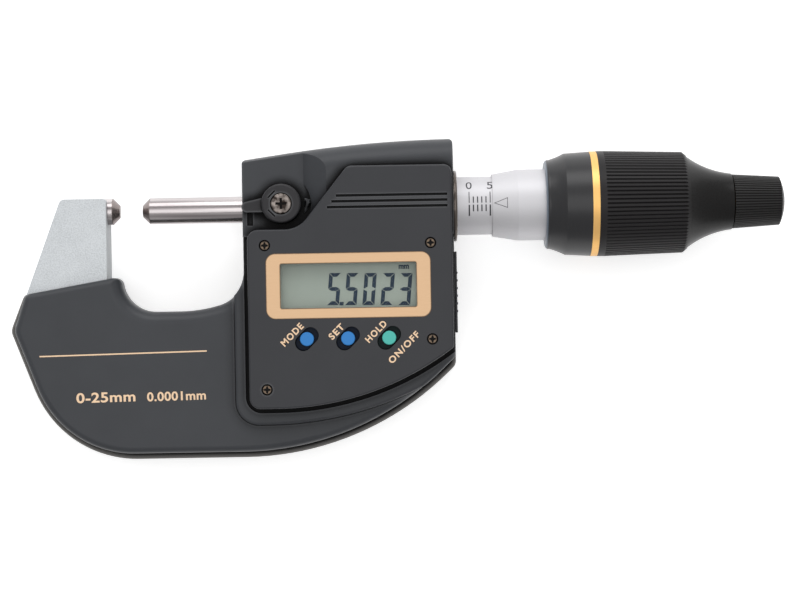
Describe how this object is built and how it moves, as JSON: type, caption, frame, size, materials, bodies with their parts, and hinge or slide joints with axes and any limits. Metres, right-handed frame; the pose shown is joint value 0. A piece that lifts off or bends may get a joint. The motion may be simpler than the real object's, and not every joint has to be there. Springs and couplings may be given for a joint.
{
  "type": "digital outside micrometer",
  "caption": "Digital outside micrometer with a C frame, spindle and ribbed thimble, spindle clamp, display with keys and sliding connector cover.",
  "frame": {"origin": "centre of the anvil's measuring face", "axes": "+X along the spindle axis from the anvil towards the thimble, +Y towards the top of the instrument as it is held, +Z out of the display; the instrument lies on its back"},
  "size_m": [0.1866, 0.0755, 0.0263],
  "materials": {
    "cast_frame": "hammered silver paint",
    "carbide": "lapped carbide",
    "ground_steel": "ground",
    "satin_chrome": "satin",
    "dark_plastic": "fine textured black",
    "grey_plastic": "satin dark grey",
    "gold_plate": "gold anodised, satin",
    "gold_ring": "polished",
    "clear_window": "clear",
    "lcd": "grey-green screen",
    "rubber_black": "soft",
    "board_green": "solder mask",
    "key_blue": "moulded",
    "key_teal": "moulded",
    "bronze": "turned",
    "small_screw": "browned",
    "nickel": "nickel plated",
    "cell_can": "drawn can",
    "thimble_black": "black anodised"
  },
  "bodies": {
    "frame": {"frame": "cast_frame", "anvil": "ground_steel", "anvil_tip": "carbide", "spindle_bush": "bronze", "spindle_seal": "rubber_black", "clamp_pad": "bronze", "front_cover": "dark_plastic", "rear_cover": "grey_plastic", "display_housing": "dark_plastic", "display_cover": "dark_plastic", "display_bezel": "gold_plate", "display_window": "clear_window", "lcd_panel": "lcd", "lcd_strips": "rubber_black", "circuit_board": "board_green", "button_domes": "nickel", "cover_screws": "small_screw", "rear_screws": "small_screw", "battery": "cell_can", "battery_contact": "nickel", "encoder_stator": "board_green", "rotor_bearing": "bronze", "sleeve_flange": "thimble_black", "sleeve": "satin_chrome", "screw_nut": "bronze", "adjusting_nut": "ground_steel", "output_socket": "dark_plastic"},
    "spindle": {"spindle": "ground_steel", "spindle_tip": "carbide", "thrust_ball": "ground_steel", "pointer_sleeve": "satin_chrome"},
    "thimble": {"lead_screw": "ground_steel", "thimble_hub": "bronze", "ratchet_screw": "ground_steel", "thimble_collar": "thimble_black", "thimble_ring": "gold_ring", "thimble_grip": "thimble_black", "clutch_disc": "bronze", "clutch_washers": "ground_steel"},
    "speeder": {"speeder": "thimble_black", "speeder_cap": "thimble_black"},
    "encoder_rotor": {"encoder_rotor": "board_green"},
    "clamp_lever": {"clamp_lever": "dark_plastic", "clamp_screw": "nickel", "clamp_stem": "ground_steel"},
    "mode_button": {"mode_button": "key_blue"},
    "set_button": {"set_button": "key_blue"},
    "hold_button": {"hold_button": "key_teal"},
    "connector_cover": {"connector_cover": "dark_plastic"},
    "battery_cap": {"battery_cap": "dark_plastic", "cap_seal": "rubber_black"}
  },
  "joints": [
    {"name": "spindle_slide", "type": "slide", "parent": "frame", "child": "spindle", "axis": [1, 0, 0], "range_m": [-0.0055, 0.0195]},
    {"name": "thimble_turn", "type": "hinge", "parent": "spindle", "child": "thimble", "pos_m": [0.113, 0, 0], "axis": [1, 0, 0], "range_deg": [-3960, 14040]},
    {"name": "rotor_turn", "type": "hinge", "parent": "frame", "child": "encoder_rotor", "pos_m": [0.072, 0, 0], "axis": [1, 0, 0], "range_deg": [-3960, 14040]},
    {"name": "speeder_turn", "type": "hinge", "parent": "thimble", "child": "speeder", "pos_m": [0.152, 0, 0], "axis": [1, 0, 0], "continuous": true},
    {"name": "clamp_turn", "type": "hinge", "parent": "frame", "child": "clamp_lever", "pos_m": [0.0393, 0.0008, 0], "axis": [0, 0, 1], "range_deg": [0, 25]},
    {"name": "mode_press", "type": "slide", "parent": "frame", "child": "mode_button", "axis": [0, 0, -1], "range_m": [0, 0.0006], "stiffness_N_per_m": 300, "springref_m": -0.0004},
    {"name": "set_press", "type": "slide", "parent": "frame", "child": "set_button", "axis": [0, 0, -1], "range_m": [0, 0.0006], "stiffness_N_per_m": 300, "springref_m": -0.0004},
    {"name": "hold_press", "type": "slide", "parent": "frame", "child": "hold_button", "axis": [0, 0, -1], "range_m": [0, 0.0006], "stiffness_N_per_m": 300, "springref_m": -0.0004},
    {"name": "connector_slide", "type": "slide", "parent": "frame", "child": "connector_cover", "axis": [0, -1, 0], "range_m": [0, 0.005]},
    {"name": "cap_turn", "type": "hinge", "parent": "frame", "child": "battery_cap", "pos_m": [0.0545, -0.0285, -0.011], "axis": [0, 0, 1], "range_deg": [0, 60]}
  ],
  "couplings": [
    {"joint": "thimble_turn", "follows": "spindle_slide", "rad_per_m": 12566},
    {"joint": "rotor_turn", "follows": "spindle_slide", "rad_per_m": 12566}
  ]
}
